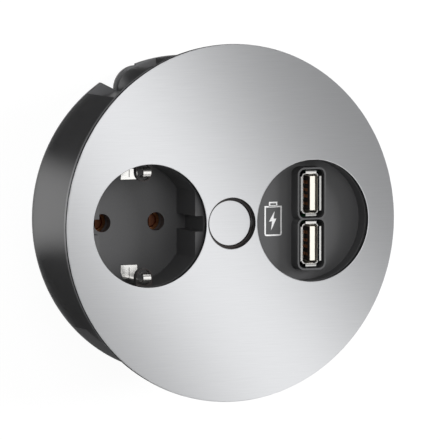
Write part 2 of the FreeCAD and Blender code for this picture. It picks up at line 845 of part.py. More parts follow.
def earth_blade():
    """Blade with its rolled head, drawn in the YZ plane on the +Y side."""
    out = pad_outer
    mid = head_middle()
    top = cover_top - head_drop
    centre_z = top - head_radius
    bend_z = centre_z - blade_bend
    tail_z = centre_z - head_tail
    right = mid + head_radius
    left = mid - head_radius
    inside_left = left + blade_thick
    inside_right = right - blade_thick
    z0 = well_floor - strip_thick

    def at(y, z):
        return FreeCAD.Vector(-blade_half, y, z)

    edges = [
        Part.LineSegment(at(out - blade_thick, z0), at(out, z0)).toShape(),
        Part.LineSegment(at(out, z0), at(out, bend_z)).toShape(),
        Part.LineSegment(at(out, bend_z), at(right, centre_z)).toShape(),
        Part.Arc(at(right, centre_z), at(mid, top), at(left, centre_z)).toShape(),
        Part.LineSegment(at(left, centre_z), at(left, tail_z)).toShape(),
        Part.LineSegment(at(left, tail_z), at(inside_left, tail_z)).toShape(),
        Part.LineSegment(at(inside_left, tail_z), at(inside_left, centre_z)).toShape(),
        Part.Arc(at(inside_left, centre_z), at(mid, top - blade_thick), at(inside_right, centre_z)).toShape(),
        Part.LineSegment(at(inside_right, centre_z), at(out - blade_thick, bend_z)).toShape(),
        Part.LineSegment(at(out - blade_thick, bend_z), at(out - blade_thick, z0)).toShape(),
    ]
    return Part.Face(Part.Wire(edges)).extrude(FreeCAD.Vector(2 * blade_half, 0, 0))


def earth_bracket():
    strip_z1 = well_under - hair
    strip_z0 = strip_z1 - strip_thick
    reach = pad_inner + strip_thick
    strip = block(-strip_half, strip_half, -reach, reach, strip_z0, strip_z1)
    web = block(-strip_half, strip_half, pad_inner, pad_inner + strip_thick, strip_z0, well_floor)
    pad = prism(pad_outline(0), well_floor - strip_thick, well_floor)
    near = pad_inner + 2 * pad_slit
    far = pad_outer - blade_thick - hair
    slit = block(-pad_slit / 2, pad_slit / 2, near, far, well_floor - strip_thick / 2, well_floor + 1)
    side = fused([web, pad, earth_blade()]).cut(slit)
    tab_z0 = strip_z0 - tab_length
    tab = block(-tab_half, tab_half, -pad_inner - strip_thick, -pad_inner, tab_z0, strip_z0 + hair)
    return moved(fused([strip, tab] + both_ways(side)), socket_x, 0)


# Charger

def port_places():
    return [(frame_offset, port_shift + port_pitch / 2), (frame_offset, port_shift - port_pitch / 2)]


def usb_insert():
    cup = insert_cup(usb_floor, usb_under)
    solids = [cup]
    for x, y in port_places():
        solids.append(rounded(frame_width, frame_length, frame_corner, usb_floor - hair, frame_top, x, y))
    solids += both_ways(cyl(post_radius, board_z1, usb_under + hair, post_offset, 0))
    insert = fused(solids)
    tools = []
    for x, y in port_places():
        width = frame_width - 2 * frame_rim
        length = frame_length - 2 * frame_rim
        tools.append(rounded(width, length, frame_corner - frame_rim, usb_under - 1, frame_top + 1, x, y))
    tools += both_ways(cyl(module_screw_radius + shaft_gap, board_z1 - 1, usb_under - 1, post_offset, 0))
    return moved(cut_all(insert, tools), usb_x, 0)


def port_lips():
    """Flared lips at the port's mouth, drawn on the port's own axis."""
    lips = []
    z0 = port_top - lip_height
    sides = [(port_width / 2, lip_long / 2, 0.0), (port_length / 2, lip_short / 2, 90.0)]
    for reach, half, degrees in sides:
        section = [
            FreeCAD.Vector(reach - port_sheet, -half, z0),
            FreeCAD.Vector(reach, -half, z0),
            FreeCAD.Vector(reach + lip_flare, -half, port_top),
            FreeCAD.Vector(reach + lip_flare - port_sheet, -half, port_top),
        ]
        face = Part.Face(Part.makePolygon(section + [section[0]]))
        lip = face.extrude(FreeCAD.Vector(0, 2 * half, 0))
        lips += both_ways(turned(lip, degrees))
    return lips


def usb_shell(place):
    z1 = port_top - lip_height + hair
    width = port_width - 2 * port_sheet
    length = port_length - 2 * port_sheet
    outer = rounded(port_width, port_length, port_corner, board_z1, z1)
    inner = rounded(width, length, port_corner - port_sheet, board_z1 - 1, z1 + 1)
    shell = fused([outer.cut(inner)] + port_lips())
    return moved(shell, usb_x + place[0], place[1])


def usb_tongue(place):
    tongue_top = port_top - tongue_setback
    tongue = block(0, tongue_width, -tongue_length / 2, tongue_length / 2, board_z1, tongue_top)
    width = port_width - 2 * (port_sheet + hair)
    length = port_length - 2 * (port_sheet + hair)
    base = rounded(width, length, port_corner - port_sheet, board_z1, board_z1 + tongue_base)
    return moved(fused([tongue, base]), usb_x + place[0], place[1])


def usb_contacts(place):
    top = port_top - tongue_setback - 2 * contact_width
    strips = []
    for y in contact_rows:
        half = contact_width / 2
        strip = block(-contact_sheet, 0, y - half, y + half, board_z1 + tongue_base, top)
        strips.append(moved(strip, usb_x + place[0], place[1]))
    return Part.makeCompound(strips)


def charger_case():
    case = cyl(module_radius, rear_z1, usb_under)
    case = case.cut(cyl(module_radius - module_wall, rear_z1 + module_wall, usb_under + 1))
    posts = both_ways(cyl(post_radius, rear_z1 + hair, board_z1 - hair, post_offset, 0))
    reach = module_radius - module_wall - ledge_reach
    ledge = block(-ledge_half, ledge_half, reach, module_radius - hair, board_z0 - module_wall, board_z0)
    ledge = ledge.common(cyl(module_radius - hair, rear_z1, usb_under))
    case = fused([case] + posts + both_ways(ledge))
    tools = both_ways(cyl(module_screw_radius + shaft_gap, rear_z1 - 1, usb_under, post_offset, 0))
    head_top = rear_z1 + module_head_thick + hair
    tools += both_ways(cyl(module_head_radius + seat_gap, rear_z1 - 1, head_top, post_offset, 0))
    top = board_z0 - running_gap
    near, far = window_y
    tools.append(block(-module_radius - 1, -module_radius / 2, near, far, top - window_height, top))
    return moved(cut_all(case, tools), usb_x, 0)


def charger_case_screws():
    return moved(module_screws(post_offset, 0, usb_under - 2), usb_x, 0)


def charger_board():
    half = board_width / 2
    board = block(-half, half, -board_length / 2, board_length / 2, board_z0, board_z1)
    return moved(board, usb_x + frame_offset, 0)


def transformer_coil():
    x, y = transformer_place
    width, length, height = transformer_size
    coil = block(x - width / 2, x + width / 2, y - length / 2, y + length / 2, board_z0 - height, board_z0)
    half = core_depth / 2 + hair
    z0 = board_z0 - height / 2 - core_leg / 2
    window = block(x - width, x + width, y - half, y + half, z0, z0 + core_leg)
    return moved(coil.cut(window), usb_x, 0)


def transformer_core():
    x, y = transformer_place
    width, _, height = transformer_size
    half = core_depth / 2
    leg_z0 = board_z0 - height / 2 - core_leg / 2 + hair
    reach = width / 2 + core_leg / 2
    leg = block(x - reach, x + reach, y - half, y + half, leg_z0, leg_z0 + core_leg - 2 * hair)
    sides = []
    for start in (x - width / 2 - core_leg, x + width / 2 + hair):
        end = start + core_leg - hair
        sides.append(block(start, end, y - half, y + half, board_z0 - height, board_z0 - hair))
    return moved(fused([leg] + sides), usb_x, 0)


def capacitors():
    cans = []
    for x, y, radius, length in capacitor_sizes:
        can = cyl(radius, board_z0 - length, board_z0, usb_x + x, y)
        z1 = board_z0 - can_neck
        neck = tube(radius + 1, radius - can_neck_depth, z1 - can_neck, z1, usb_x + x, y)
        cans.append(can.cut(neck))
    return Part.makeCompound(cans)


def mains_connector():
    x, y = connector_place
    width, length, height = connector_size
    body = block(x - width / 2, x + width / 2, y - length / 2, y + length / 2, board_z0 - height, board_z0)
    return moved(body, usb_x, 0)


# Wiring

def pole_places():
    middle = 0.5 * (block_y[0] + block_y[1])
    return [middle - pole_pitch, middle, middle + pole_pitch]


def terminal_block():
    body = block(-block_half, block_half, block_y[0], block_y[1], rear_z1, rear_z1 + block_height)
    for y in pole_places():
        body = body.cut(along_x(pole_radius + hair, -block_half - 1, block_half + 1, y, pole_z))
        body = body.cut(cyl(pole_screw_radius + 2 * seat_gap, pole_z, rear_z1 + block_height + 1, 0, y))
    return body


def terminal_inserts():
    barrels = []
    for y in pole_places():
        half = block_half - pole_setback
        barrel = along_x(pole_radius, -half, half, y, pole_z)
        barrel = barrel.cut(along_x(pole_bore, -block_half - 1, block_half + 1, y, pole_z))
        barrels.append(barrel.cut(cyl(pole_screw_radius + shaft_gap, pole_z, pole_z + 2 * pole_radius, 0, y)))
    return Part.makeCompound(barrels)


def terminal_screws():
    screws = []
    top = rear_z1 + block_height - pole_setback
    reach = pole_screw_radius + 1
    half = pole_slot / 2
    for y in pole_places():
        screw = cyl(pole_screw_radius, pole_z + pole_bore / 2, top, 0, y)
        screws.append(screw.cut(block(-reach, reach, y - half, y + half, top - pole_slot_depth, top + 1)))
    return Part.makeCompound(screws)


def wire_along(points):
    """Round wire along straight runs joined by tangent arcs."""
    spots = [FreeCAD.Vector(*p) for p in points]
    edges = []
    last = spots[0]
    for before, corner, after in zip(spots, spots[1:], spots[2:]):
        back = (before - corner).normalize()
        ahead = (after - corner).normalize()
        turn = math.pi - back.getAngle(ahead)
        run = min((before - corner).Length, (after - corner).Length)
        trim = 0.45 * run
        radius = trim / math.tan(turn / 2)
        start = corner + back * trim
        end = corner + ahead * trim
        bisector = (back + ahead).normalize()
        centre = corner + bisector * math.hypot(trim, radius)
        middle = centre - bisector * radius
        edges.append(Part.LineSegment(last, start).toShape())
        edges.append(Part.Arc(start, middle, end).toShape())
        last = end
    edges.append(Part.LineSegment(last, spots[-1]).toShape())
    path = Part.Wire(edges)
    ring = Part.Wire(Part.makeCircle(wire_radius, spots[0], spots[1] - spots[0]))
    return path.makePipeShell([ring], True, False)


def tail_start(side):
    """Where a wire leaves the tail of the contact at that side of the socket."""
    return socket_x + side * pin_spacing / 2, -tail_reach(), tail_z0 + tail_height / 2


def line_wire():
    x, y, z = tail_start(-1)
    low = pole_places()[0]
    middle = [(*place, pole_z) for place in line_route]
    end = [(-block_half - line_end, low, pole_z), (-block_half, low, pole_z)]
    return wire_along([(x, y, z), (x, y - line_lead, z)] + middle + end)


def neutral_wire():
    x, y, z = tail_start(1)
    high = pole_places()[2]
    end = [(-block_half - neutral_end, high, pole_z), (-block_half, high, pole_z)]
    return wire_along([(x, y, z), (x, y - neutral_lead, z), (*neutral_route, pole_z)] + end)


def earth_wire():
    middle = pole_places()[1]
    y = -pad_inner - strip_thick
    z = well_under - tab_length + earth_lug
    out, down, near = earth_route
    end = [(-block_half - earth_end, middle, pole_z), (-block_half, middle, pole_z)]
    return wire_along([(socket_x, y, z), (*out, z), down, (*near, pole_z)] + end)


def connector_end(shift):
    """Where a wire enters the connector on the charger board."""
    x = usb_x + connector_place[0] - connector_size[0] / 2
    return x, connector_place[1] + shift, board_z0 - connector_size[2] / 2


def charger_wire(pole_y, shift, route, side):
    x, y, z = connector_end(shift)
    start = [(block_half, pole_y, pole_z), (block_half + charger_end, pole_y, pole_z)]
    return wire_along(start + [route, (side, y, z), (x, y, z)])


def charger_line_wire():
    return charger_wire(pole_places()[0], -connector_pitch / 2, charger_line_route, charger_line_side)


def charger_neutral_wire():
    return charger_wire(pole_places()[2], connector_pitch / 2, charger_neutral_route, charger_neutral_side)


def cord_bush():
    outer = -shell_radius - hair - bush_flange_thick
    body = along_y(cord_radius + bush_wall, outer, outer + bush_length, 0, cord_z)
    flange = along_y(cord_radius + bush_wall + bush_flange, outer, -shell_radius - hair, 0, cord_z)
    return body.fuse(flange).cut(along_y(cord_radius, outer - 1, outer + bush_length + 1, 0, cord_z))


def cord_clamp():
    z0 = cord_z + cord_radius
    near = clamp_y - clamp_half_width
    far = clamp_y + clamp_half_width
    bridge = block(-clamp_half_length, clamp_half_length, near, far, z0, z0 + clamp_thick)
    for x in (-clamp_post_offset, clamp_post_offset):
        bridge = bridge.cut(cyl(small_screw_radius + shaft_gap, z0 - 1, z0 + clamp_thick + 1, x, clamp_y))
    return bridge


def cord_clamp_screws():
    z0 = cord_z + cord_radius + clamp_thick
    top = z0 + small_head_thick
    screws = []
    for x in (-clamp_post_offset, clamp_post_offset):
        head = cyl(small_head_radius, z0, top)
        shank = cyl(small_screw_radius, z0 - clamp_thick - cord_radius / 2, z0 + hair)
        recess = cross_recess(small_head_radius, top - small_head_thick / 2, top + 1)
        screws.append(moved(head.fuse(shank).cut(recess), x, clamp_y))
    return Part.makeCompound(screws)


upper_port, lower_port = port_places()

nodes = {
    "cover_plate": cover_plate(),
    "cover_carrier": cover_carrier(),
    "button_cap": button_cap(),
    "button_plunger": button_plunger(),
    "button_clip": button_clip(),
    "button_spring": button_spring(),
    "release_bar": release_bar(),
    "latch_spring_upper": latch_spring_upper(),
    "latch_spring_lower": opposite(latch_spring_upper()),
    "latch_rivets": latch_rivets(),
    "housing_frame": housing_frame(),
    "rear_cover": rear_cover(),
    "rear_cover_screws": rear_cover_screws(),
    "clamp_screw_upper": clamp_screw_upper(),
    "clamp_screw_lower": opposite(clamp_screw_upper()),
    "screw_clip_upper": screw_clip_upper(),
    "screw_clip_lower": opposite(screw_clip_upper()),
    "claw_nut_upper": claw_nut_upper(),
    "claw_nut_lower": opposite(claw_nut_upper()),
    "claw_upper": claw_upper(),
    "claw_lower": opposite(claw_upper()),
    "socket_insert": socket_insert(),
    "socket_base": socket_base(),
    "socket_base_screws": socket_base_screws(),
    "line_contact": line_contact(),
    "neutral_contact": neutral_contact(),
    "earth_bracket": earth_bracket(),
    "usb_insert": usb_insert(),
    "usb_shell_upper": usb_shell(upper_port),
    "usb_shell_lower": usb_shell(lower_port),
    "usb_tongue_upper": usb_tongue(upper_port),
    "usb_tongue_lower": usb_tongue(lower_port),
    "usb_contacts_upper": usb_contacts(upper_port),
    "usb_contacts_lower": usb_contacts(lower_port),
    "charger_case": charger_case(),
    "charger_case_screws": charger_case_screws(),
    "charger_board": charger_board(),
    "transformer_coil": transformer_coil(),
    "transformer_core": transformer_core(),
    "capacitors": capacitors(),
    "mains_connector": mains_connector(),
    "terminal_block": terminal_block(),
    "terminal_inserts": terminal_inserts(),
    "terminal_screws": terminal_screws(),
    "line_wire": line_wire(),
    "neutral_wire": neutral_wire(),
    "earth_wire": earth_wire(),
    "charger_line_wire": charger_line_wire(),
    "charger_neutral_wire": charger_neutral_wire(),
    "cord_bush": cord_bush(),
    "cord_clamp": cord_clamp(),
    "cord_clamp_screws": cord_clamp_screws(),
}

os.makedirs("parts", exist_ok=True)
for name, shape in nodes.items():
    shape.exportStep("parts/" + name + ".step")
    print(name, len(shape.Solids), round(shape.Volume, 2), shape.isValid())
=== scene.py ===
import json
import math

import bmesh
import bpy
from mathutils import Matrix, Vector


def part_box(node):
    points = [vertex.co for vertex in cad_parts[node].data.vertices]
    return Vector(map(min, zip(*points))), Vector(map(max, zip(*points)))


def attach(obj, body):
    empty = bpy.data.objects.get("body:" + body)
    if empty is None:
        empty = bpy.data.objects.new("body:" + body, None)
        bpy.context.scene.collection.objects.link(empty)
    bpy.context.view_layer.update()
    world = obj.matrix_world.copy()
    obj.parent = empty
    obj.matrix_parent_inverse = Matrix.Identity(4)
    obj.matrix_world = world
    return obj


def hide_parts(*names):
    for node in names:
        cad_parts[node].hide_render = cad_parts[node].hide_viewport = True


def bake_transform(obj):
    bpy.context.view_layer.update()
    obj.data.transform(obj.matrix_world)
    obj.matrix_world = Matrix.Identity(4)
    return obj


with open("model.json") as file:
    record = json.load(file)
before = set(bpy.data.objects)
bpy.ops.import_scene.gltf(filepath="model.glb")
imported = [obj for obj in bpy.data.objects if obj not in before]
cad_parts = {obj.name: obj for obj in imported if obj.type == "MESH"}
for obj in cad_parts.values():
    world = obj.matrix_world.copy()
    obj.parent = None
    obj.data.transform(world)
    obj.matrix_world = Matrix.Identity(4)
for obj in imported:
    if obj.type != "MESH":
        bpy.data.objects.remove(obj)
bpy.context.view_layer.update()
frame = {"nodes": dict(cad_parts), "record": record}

# In-desk power socket: a steel cover with a mains outlet and two charging ports in a black housing.
# Sizes in the dictionaries are in millimetres and degrees.

mm = 0.001
nodes = frame["nodes"]
bodyOf = {name: body for body, names in frame["record"]["behaviour"]["bodies"].items() for name in names}
slotOf = {part["node"]: part["material_slot"] for part in frame["record"]["subparts"]}


def toLinear(hexColour):
    parts = [int(hexColour[i:i + 2], 16) / 255 for i in (1, 3, 5)]
    return [c / 12.92 if c <= 0.04045 else ((c + 0.055) / 1.055) ** 2.4 for c in parts] + [1.0]


def addNode(tree, kind, settings=None, links=None):
    node = tree.nodes.new("ShaderNode" + kind)
    for key, value in (settings or {}).items():
        if isinstance(key, int) or key in node.inputs:
            node.inputs[key].default_value = value
        else:
            setattr(node, key, value)
    for key, (source, output) in (links or {}).items():
        tree.links.new(source.outputs[output], node.inputs[key])
    return node


def newMaterial(name, settings):
    material = bpy.data.materials.new(name)
    material.use_nodes = True
    shader = material.node_tree.nodes["Principled BSDF"]
    for key, value in settings.items():
        shader.inputs[key].default_value = value
    return material, material.node_tree, shader


def addGrain(tree, shader, size, height, stretch=(1, 1, 1), detail=3.0):
    # Size is one grain's width and height is its relief, both in millimetres.
    coords = addNode(tree, "TexCoord")
    scaled = addNode(tree, "Mapping", {"Scale": [s / (size * mm) for s in stretch]},
                     {"Vector": (coords, "Object")})
    noise = addNode(tree, "TexNoise", {"Scale": 1.0, "Detail": detail}, {"Vector": (scaled, "Vector")})
    bump = addNode(tree, "Bump", {"Strength": 1.0, "Distance": height * mm}, {"Height": (noise, "Fac")})
    tree.links.new(bump.outputs["Normal"], shader.inputs["Normal"])
    return noise


def varyRoughness(tree, shader, noise, low, high):
    spread = addNode(tree, "MapRange", {"To Min": low, "To Max": high}, {"Value": (noise, "Fac")})
    tree.links.new(spread.outputs["Result"], shader.inputs["Roughness"])


def varyColour(tree, shader, noise, dark, light, low=0.3, high=0.7):
    ramp = addNode(tree, "ValToRGB", {}, {"Fac": (noise, "Fac")})
    ramp.color_ramp.elements[0].color = toLinear(dark)
    ramp.color_ramp.elements[0].position = low
    ramp.color_ramp.elements[1].color = toLinear(light)
    ramp.color_ramp.elements[1].position = high
    tree.links.new(ramp.outputs["Color"], shader.inputs["Base Color"])


# Satin stainless steel sheet, ground in one direction: soft mirror with a hairline grain.
# The real grain is about 0.05 mm wide, drawn at 0.12 mm so that it shows close up.
def satinSteel():
    material, tree, shader = newMaterial("satin stainless steel", {"Metallic": 1.0})
    noise = addGrain(tree, shader, 0.12, 0.0004, stretch=(0.012, 1, 1))
    varyRoughness(tree, shader, noise, 0.28, 0.32)
    varyColour(tree, shader, noise, "#DEDFE1", "#E4E5E7")
    return material


# Polycarbonate and ABS blend from a spark-eroded mould: black with an even fine matt grain.
def mouldedBlack():
    material, tree, shader = newMaterial("moulded black plastic", {"IOR": 1.58})
    noise = addGrain(tree, shader, 0.22, 0.004)
    varyRoughness(tree, shader, noise, 0.38, 0.47)
    varyColour(tree, shader, noise, "#464647", "#4E4E4F")
    return material


# The same blend painted a paler grey: a painted highlight on the flange's edge band, and painted light on the
# face that the rear plate shows in the notch.
def paintedLightBlack():
    material, tree, shader = newMaterial("black plastic painted pale for light", {"IOR": 1.8})
    noise = addGrain(tree, shader, 0.22, 0.004)
    varyRoughness(tree, shader, noise, 0.42, 0.52)
    varyColour(tree, shader, noise, "#7E7E80", "#878789")
    return material


# Glass-filled nylon for the inner carriers: mid grey and matt.
def mouldedGrey():
    material, tree, shader = newMaterial("glass-filled nylon", {"IOR": 1.53})
    noise = addGrain(tree, shader, 0.3, 0.006)
    varyRoughness(tree, shader, noise, 0.55, 0.65)
    varyColour(tree, shader, noise, "#77787A", "#85868A")
    return material


# Flame-retardant polyamide of the terminal block: off-white, slightly waxy.
def mouldedWhite():
    material, tree, shader = newMaterial("terminal polyamide", {"IOR": 1.53, "Subsurface Weight": 0.05})
    noise = addGrain(tree, shader, 0.4, 0.003)
    varyRoughness(tree, shader, noise, 0.40, 0.50)
    varyColour(tree, shader, noise, "#E2E1DC", "#ECEBE6")
    return material


# Blanked edge of the steel sheet: torn and dull in itself, and painted near black beyond that as a painted
# dark reflection, darker than the ground face.
def blankedEdgeAndShade():
    material, tree, shader = newMaterial("blanked steel edge painted dark", {"Metallic": 1.0})
    noise = addGrain(tree, shader, 0.08, 0.002, stretch=(1, 1, 0.2))
    varyRoughness(tree, shader, noise, 0.45, 0.60)
    varyColour(tree, shader, noise, "#26272A", "#303235")
    return material


# Rolled spring steel strip and wire: darker and smoother than the cover.
def springSteel():
    material, tree, shader = newMaterial("spring steel", {"Metallic": 1.0})
    noise = addGrain(tree, shader, 0.15, 0.0008, stretch=(0.05, 1, 1))
    varyRoughness(tree, shader, noise, 0.25, 0.35)
    varyColour(tree, shader, noise, "#9C9DA0", "#AEB0B3")
    return material


# Zinc-plated screws, clear passivated: bright with a faint blue cast and cloudy patches.
def zincSteel():
    material, tree, shader = newMaterial("zinc-plated steel", {"Metallic": 1.0})
    noise = addGrain(tree, shader, 0.5, 0.002)
    varyRoughness(tree, shader, noise, 0.24, 0.40)
    varyColour(tree, shader, noise, "#B9C0CA", "#D6DADD")
    return material


# Bare phosphor bronze of the pin contacts: copper brown, a little dulled.
def contactBrass():
    material, tree, shader = newMaterial("phosphor bronze", {"Metallic": 1.0})
    noise = addGrain(tree, shader, 0.3, 0.001)
    varyRoughness(tree, shader, noise, 0.30, 0.42)
    varyColour(tree, shader, noise, "#B9784F", "#D09468")
    return material


# Nickel plate over pressed strip: near-white mirror with slight pressing marks.
def nickelPlate():
    material, tree, shader = newMaterial("nickel plate", {"Metallic": 1.0})
    noise = addGrain(tree, shader, 0.9, 0.004, detail=1.0)
    varyRoughness(tree, shader, noise, 0.18, 0.26)
    varyColour(tree, shader, noise, "#EFEEEB", "#F8F7F4")
    return material


# Glass-filled thermoplastic of the ports' tongues: cream white and matt.
def creamPlastic():
    material, tree, shader = newMaterial("cream port plastic", {"IOR": 1.55})
    noise = addGrain(tree, shader, 0.12, 0.002)
    varyRoughness(tree, shader, noise, 0.45, 0.55)
    varyColour(tree, shader, noise, "#E6E0D4", "#F0EBE0")
    return material


# Glass-epoxy board under a green solder mask: glossy, with the weave's faint unevenness.
def greenBoard():
    material, tree, shader = newMaterial("solder mask", {"IOR": 1.55, "Coat Weight": 0.4})
    noise = addGrain(tree, shader, 0.5, 0.004)
    varyRoughness(tree, shader, noise, 0.25, 0.35)
    varyColour(tree, shader, noise, "#1D5A38", "#256B44")
    return material


# Polyester tape round the transformer's winding: yellow film with overlaid turns.
def coilTape():
    material, tree, shader = newMaterial("polyester coil tape", {"IOR": 1.6})
    noise = addGrain(tree, shader, 1.2, 0.02, stretch=(0.1, 0.1, 1))
    varyRoughness(tree, shader, noise, 0.25, 0.40)
    varyColour(tree, shader, noise, "#CFA52B", "#DDB83F")
    return material


# Sintered ferrite: near-black ceramic, ground flat.
def ferriteCore():
    material, tree, shader = newMaterial("ferrite", {"IOR": 2.0})
    noise = addGrain(tree, shader, 0.25, 0.01)
    varyRoughness(tree, shader, noise, 0.45, 0.60)
    varyColour(tree, shader, noise, "#2C2C2E", "#3A3A3C")
    return material


# Aluminium can in a shrink sleeve: dark sleeve film over the metal.
def sleevedCan():
    material, tree, shader = newMaterial("capacitor sleeve", {"IOR": 1.5, "Metallic": 0.3})
    noise = addGrain(tree, shader, 0.6, 0.004)
    varyRoughness(tree, shader, noise, 0.22, 0.32)
    varyColour(tree, shader, noise, "#2B3140", "#343B4C")
    return material


# Soft vinyl insulation of the wires: semi-matt with a slight drawn grain.
def wireVinyl(name, dark, light):
    material, tree, shader = newMaterial(name, {"IOR": 1.5})
    noise = addGrain(tree, shader, 0.3, 0.003)
    varyRoughness(tree, shader, noise, 0.38, 0.48)
    varyColour(tree, shader, noise, dark, light)
    return material


# White pad-printing ink of the battery mark: flat and slightly uneven in its edge cover.
def printInk():
    material, tree, shader = newMaterial("white print ink", {"IOR": 1.5})
    noise = addGrain(tree, shader, 0.2, 0.002)
    varyRoughness(tree, shader, noise, 0.50, 0.60)
    varyColour(tree, shader, noise, "#E2E2E2", "#ECECEC")
    return material


# Painted shade: a dull near-black with a brown cast, painted on the shaded left sides of the ports' tongues,
# in the button's well and on the tops of the guards round the earth clips.
def paintedShadeBlack():
    material, tree, shader = newMaterial("black plastic painted as shade", {"IOR": 1.6})
    noise = addGrain(tree, shader, 0.12, 0.002)
    varyRoughness(tree, shader, noise, 0.50, 0.60)
    varyColour(tree, shader, noise, "#241F1E", "#2E2827")
    return material


# Bronze strip of the sprung leaves, tarnished to a dull brown.
def tarnishedBronze():
    material, tree, shader = newMaterial("tarnished bronze", {"Metallic": 1.0})
    noise = addGrain(tree, shader, 0.3, 0.002)
    varyRoughness(tree, shader, noise, 0.50, 0.62)
    varyColour(tree, shader, noise, "#8C5B44", "#9B684F")
    return material


# Moulded rubber of the cord bush: deep black and dull.
def bushRubber():
    material, tree, shader = newMaterial("bush rubber", {"IOR": 1.5})
    noise = addGrain(tree, shader, 0.4, 0.01)
    varyRoughness(tree, shader, noise, 0.60, 0.75)
    varyColour(tree, shader, noise, "#161617", "#1E1E1F")
    return material


finishes = {
    "brushed_steel_sheet": satinSteel(),
    "moulded_black": mouldedBlack(),
    "moulded_grey": mouldedGrey(),
    "moulded_white": mouldedWhite(),
    "spring_steel": springSteel(),
    "zinc_steel": zincSteel(),
    "contact_brass": contactBrass(),
    "nickel_plate": nickelPlate(),
    "cream_plastic": creamPlastic(),
    "green_board": greenBoard(),
    "coil_tape": coilTape(),
    "ferrite": ferriteCore(),
    "can_aluminium": sleevedCan(),
    "brown_insulation": wireVinyl("brown vinyl", "#4A2615", "#57301D"),
    "blue_insulation": wireVinyl("blue vinyl", "#1F4C9A", "#2A59A8"),
    "earth_insulation": wireVinyl("earth vinyl", "#5E8F1E", "#6F9F2B"),
    "bush_rubber": bushRubber(),
}
print("materials:", len(finishes))


mergeReach = 0.001 * mm
smoothAngle = math.radians(30)
facing = 0.5    # a face looks along an axis where its normal has more than this of it


def vertsOf(geometry):
    return [v for v in geometry if isinstance(v, bmesh.types.BMVert)]


def raised(bm, offset):
    # Extrudes all the faces of a flat shape by an offset and returns the far side's points.
    verts = vertsOf(bmesh.ops.extrude_face_region(bm, geom=bm.faces[:], use_keep_orig=True)["geom"])
    bmesh.ops.translate(bm, verts=verts, vec=offset)
    return verts


def nodeCopy(node):
    bm = bmesh.new()
    bm.from_mesh(nodes[node].data)
    bmesh.ops.remove_doubles(bm, verts=bm.verts, dist=mergeReach)
    return bm


def meshFrom(bm, name):
    mesh = bpy.data.meshes.new(name)
    bm.to_mesh(mesh)
    bm.free()
    return mesh


def placePiece(mesh, name, node, replaced=True, rides=True):
    # Gives a piece one CAD node's body, slot and finish. It stands for that node unless told otherwise.
    mesh.polygons.foreach_set("use_smooth", [True] * len(mesh.polygons))
    mesh.set_sharp_from_angle(angle=smoothAngle)
    piece = bpy.data.objects.new(name, mesh)
    bpy.context.scene.collection.objects.link(piece)
    mesh.materials.clear()
    mesh.materials.append(finishes[slotOf[node]])
    if rides:
        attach(piece, bodyOf[node])
    if replaced:
        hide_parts(node)
    piece.modifiers.new("even shading", "WEIGHTED_NORMAL").keep_sharp = True
    return piece


def placeMesh(bm, name, node, **choices):
    bmesh.ops.remove_doubles(bm, verts=bm.verts, dist=mergeReach)
    bmesh.ops.recalc_face_normals(bm, faces=bm.faces)
    return placePiece(meshFrom(bm, name), name, node, **choices)


def refinish(piece, material, chosen):
    # Gives the chosen faces of a piece one more finish.
    piece.data.materials.append(material)
    for face in piece.data.polygons:
        if chosen(face):
            face.material_index = len(piece.data.materials) - 1


# Cover plate and button cap: discs of one sheet with a small round on the cut edges.
cover = {"outletX": 28.8, "outletRadius": 19.8, "buttonHole": 8.3, "edgeRound": 0.28, "edgeSegments": 3,
         "rimSteps": 256, "holeSteps": 192, "flatAngle": 1.0, "dullTilt": 0.3}


def roundDisc(name, node, holes):
    low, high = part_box(node)
    bm = bmesh.new()
    bmesh.ops.create_circle(bm, segments=cover["rimSteps"], radius=high.x)
    for x, radius in holes:
        spot = Matrix.Translation((x * mm, 0, 0))
        bmesh.ops.create_circle(bm, segments=cover["holeSteps"], radius=radius * mm, matrix=spot)
    bmesh.ops.triangle_fill(bm, edges=bm.edges, use_beauty=True)
    bmesh.ops.dissolve_limit(bm, angle_limit=math.radians(cover["flatAngle"]), verts=bm.verts,
                             edges=bm.edges)
    bmesh.ops.translate(bm, verts=bm.verts, vec=(0, 0, low.z))
    raised(bm, (0, 0, high.z - low.z))
    tops = [e for e in bm.edges if all(abs(v.co.z - high.z) < mergeReach for v in e.verts)]
    rims = [e for e in tops if any(abs(f.normal.z) < facing for f in e.link_faces)]
    bmesh.ops.bevel(bm, geom=rims, offset=cover["edgeRound"] * mm, segments=cover["edgeSegments"],
                    profile=0.5, affect="EDGES", material=-1)
    return placeMesh(bm, name, node)


coverHoles = [(-cover["outletX"], cover["outletRadius"]), (cover["outletX"], cover["outletRadius"]),
              (0, cover["buttonHole"])]
# The discs' cut edges take the blanked edge finish: dull steel, painted near black as a painted dark
# reflection.
edgeAndShadeFinish = blankedEdgeAndShade()
for name, node, holes in (("cover_sheet", "cover_plate", coverHoles), ("button_disc", "button_cap", [])):
    refinish(roundDisc(name, node, holes), edgeAndShadeFinish,
             lambda face: abs(face.normal.z) < cover["dullTilt"])
print("cover plate and button")


# Moulded, pressed and turned pieces whose CAD solid has the right form: its edges get the
# small round that a mould or a press leaves.
edgeRounds = {
    "housing_frame": 0.15, "rear_cover": 0.2, "cover_carrier": 0.1,
    "socket_insert": 0.1, "usb_insert": 0.25, "earth_bracket": 0.25,
    "usb_tongue_upper": 0.1, "usb_tongue_lower": 0.1,
    "claw_upper": 0.1, "claw_lower": 0.1, "claw_nut_upper": 0.1, "claw_nut_lower": 0.1,
    "clamp_screw_upper": 0.12, "clamp_screw_lower": 0.12, "rear_cover_screws": 0.1,
    "cord_bush": 0.3,
}
sharpAngle = math.radians(35)
flatAngle = math.radians(0.5)
roundSegments = 2


